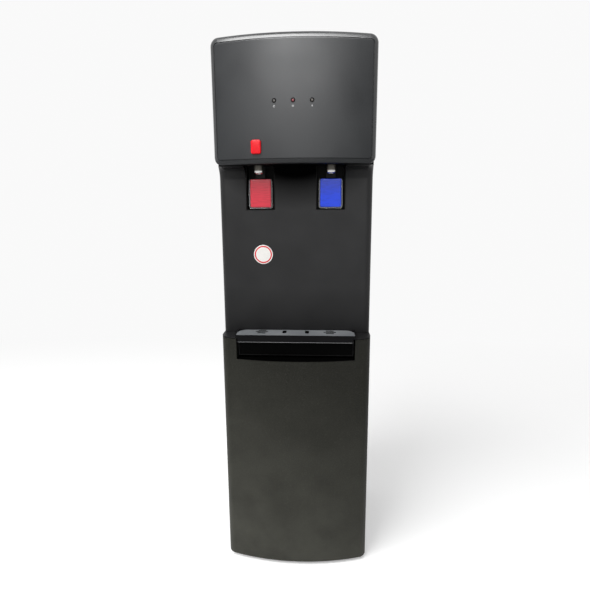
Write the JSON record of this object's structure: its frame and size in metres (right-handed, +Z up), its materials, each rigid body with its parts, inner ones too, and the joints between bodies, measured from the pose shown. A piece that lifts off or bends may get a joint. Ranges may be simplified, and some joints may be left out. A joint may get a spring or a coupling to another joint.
{
  "type": "top-loading water dispenser",
  "caption": "Floor-standing top-loading hot and cold water dispenser with push paddles, drip tray and storage cabinet.",
  "frame": {"origin": "on the floor under the middle of the bounding box", "axes": "+Z up, the taps and door face -Y, +X to the right of someone facing the front"},
  "size_m": [0.3, 0.32, 1.055],
  "materials": {
    "head_plastic": "satin",
    "column_plastic": "satin",
    "door_plastic": "satin",
    "tray_plastic": "satin",
    "grille_grey": "satin",
    "niche_black": "matte",
    "lever_black": "matte",
    "paddle_clear": "gloss",
    "insert_red": "gloss",
    "insert_blue": "gloss",
    "button_red": "gloss",
    "spout_chrome": "polished",
    "white_plastic": "satin",
    "side_paint": "satin",
    "galvanised": "satin",
    "stainless": "satin",
    "pin_steel": "satin",
    "rubber": "matte",
    "gasket_rubber": "matte",
    "liner_grey": "satin",
    "aluminium_band": "satin",
    "foam_white": "matte",
    "board_green": "satin",
    "lens_clear": "gloss",
    "label_white": "satin",
    "hose_silicone": "satin",
    "compressor_black": "gloss",
    "cast_block": "matte",
    "copper": "satin",
    "condenser_black": "matte",
    "rocker_red": "gloss",
    "rocker_green": "gloss"
  },
  "bodies": {
    "cabinet": {"feet": "rubber", "base_pan": "galvanised", "side_panel_left": "side_paint", "side_panel_right": "side_paint", "head_fascia": "head_plastic", "led_board": "board_green", "led_lenses": "lens_clear", "button_carrier": "white_plastic", "column_panel": "column_plastic", "niche_liners": "niche_black", "tap_bodies": "white_plastic", "spouts": "spout_chrome", "sticker_disc": "label_white", "deck": "column_plastic", "door_hinges": "pin_steel", "cabinet_liner": "liner_grey", "storage_shelf": "liner_grey", "top_cover": "head_plastic", "cold_tank": "stainless", "evaporator_band": "aluminium_band", "cold_tank_foam": "foam_white", "tank_shelf": "galvanised", "hot_tank": "stainless", "heater_band": "stainless", "thermostats": "lever_black", "rear_panel": "galvanised", "screws": "pin_steel", "switch_frame": "lever_black", "drain_spigot": "lever_black", "cord_gland": "rubber", "water_hoses": "hose_silicone", "compressor_shell": "compressor_black", "compressor_pump": "cast_block", "compressor_mounts": "rubber", "start_relay": "lever_black", "filter_drier": "copper", "refrigerant_pipes": "copper", "condenser_tube": "condenser_black", "condenser_wires": "condenser_black", "condenser_straps": "galvanised", "wall_spacers": "lever_black"},
    "door": {"door_shell": "door_plastic", "door_inner": "liner_grey", "door_gasket": "gasket_rubber"},
    "tray": {"drip_tray": "tray_plastic"},
    "grille": {"tray_grille": "grille_grey"},
    "hot_paddle": {"paddle_lever_hot": "lever_black", "paddle_frame_hot": "paddle_clear", "paddle_insert_hot": "insert_red"},
    "cold_paddle": {"paddle_lever_cold": "lever_black", "paddle_frame_cold": "paddle_clear", "paddle_insert_cold": "insert_blue"},
    "hot_valve": {"valve_stem_hot": "pin_steel"},
    "cold_valve": {"valve_stem_cold": "pin_steel"},
    "child_lock": {"child_lock_button": "button_red"},
    "bottle_seat": {"bottle_seat": "column_plastic", "bottle_spike": "white_plastic"},
    "hot_switch": {"rocker_hot": "rocker_red"},
    "cold_switch": {"rocker_cold": "rocker_green"},
    "drain_cap": {"drain_cap": "lever_black"}
  },
  "joints": [
    {"name": "door_hinge", "type": "hinge", "parent": "cabinet", "child": "door", "pos_m": [0.142, -0.102, 0.25], "axis": [0, 0, 1], "range_deg": [0, 100]},
    {"name": "tray_slide", "type": "slide", "parent": "cabinet", "child": "tray", "axis": [0, -1, 0], "range_m": [0, 0.08]},
    {"name": "grille_lift", "type": "slide", "parent": "tray", "child": "grille", "axis": [0, 0, 1], "range_m": [0, 0.03]},
    {"name": "hot_paddle_push", "type": "hinge", "parent": "cabinet", "child": "hot_paddle", "pos_m": [-0.0685, -0.092, 0.847], "axis": [1, 0, 0], "range_deg": [0, 10], "stiffness_Nm_per_rad": 0.3, "springref_deg": -8.59},
    {"name": "hot_valve_travel", "type": "slide", "parent": "cabinet", "child": "hot_valve", "axis": [0, 1, 0], "range_m": [0, 0.0029]},
    {"name": "cold_paddle_push", "type": "hinge", "parent": "cabinet", "child": "cold_paddle", "pos_m": [0.0685, -0.092, 0.847], "axis": [1, 0, 0], "range_deg": [0, 10], "stiffness_Nm_per_rad": 0.3, "springref_deg": -8.59},
    {"name": "cold_valve_travel", "type": "slide", "parent": "cabinet", "child": "cold_valve", "axis": [0, 1, 0], "range_m": [0, 0.0029]},
    {"name": "child_lock_press", "type": "slide", "parent": "cabinet", "child": "child_lock", "axis": [0, 1, 0], "range_m": [0, 0.003], "stiffness_N_per_m": 150, "springref_m": -0.003},
    {"name": "bottle_seat_lift", "type": "slide", "parent": "cabinet", "child": "bottle_seat", "axis": [0, 0, 1], "range_m": [0, 0.09]},
    {"name": "hot_switch_rock", "type": "hinge", "parent": "cabinet", "child": "hot_switch", "pos_m": [-0.0695, 0.138, 0.8], "axis": [1, 0, 0], "range_deg": [0, 16]},
    {"name": "cold_switch_rock", "type": "hinge", "parent": "cabinet", "child": "cold_switch", "pos_m": [-0.0505, 0.138, 0.8], "axis": [1, 0, 0], "range_deg": [0, 16]},
    {"name": "drain_cap_off", "type": "slide", "parent": "cabinet", "child": "drain_cap", "axis": [0, 1, 0], "range_m": [0, 0.02]}
  ],
  "couplings": [
    {"joint": "hot_valve_travel", "follows": "hot_paddle_push", "m_per_rad": 0.016},
    {"joint": "cold_valve_travel", "follows": "cold_paddle_push", "m_per_rad": 0.016}
  ]
}
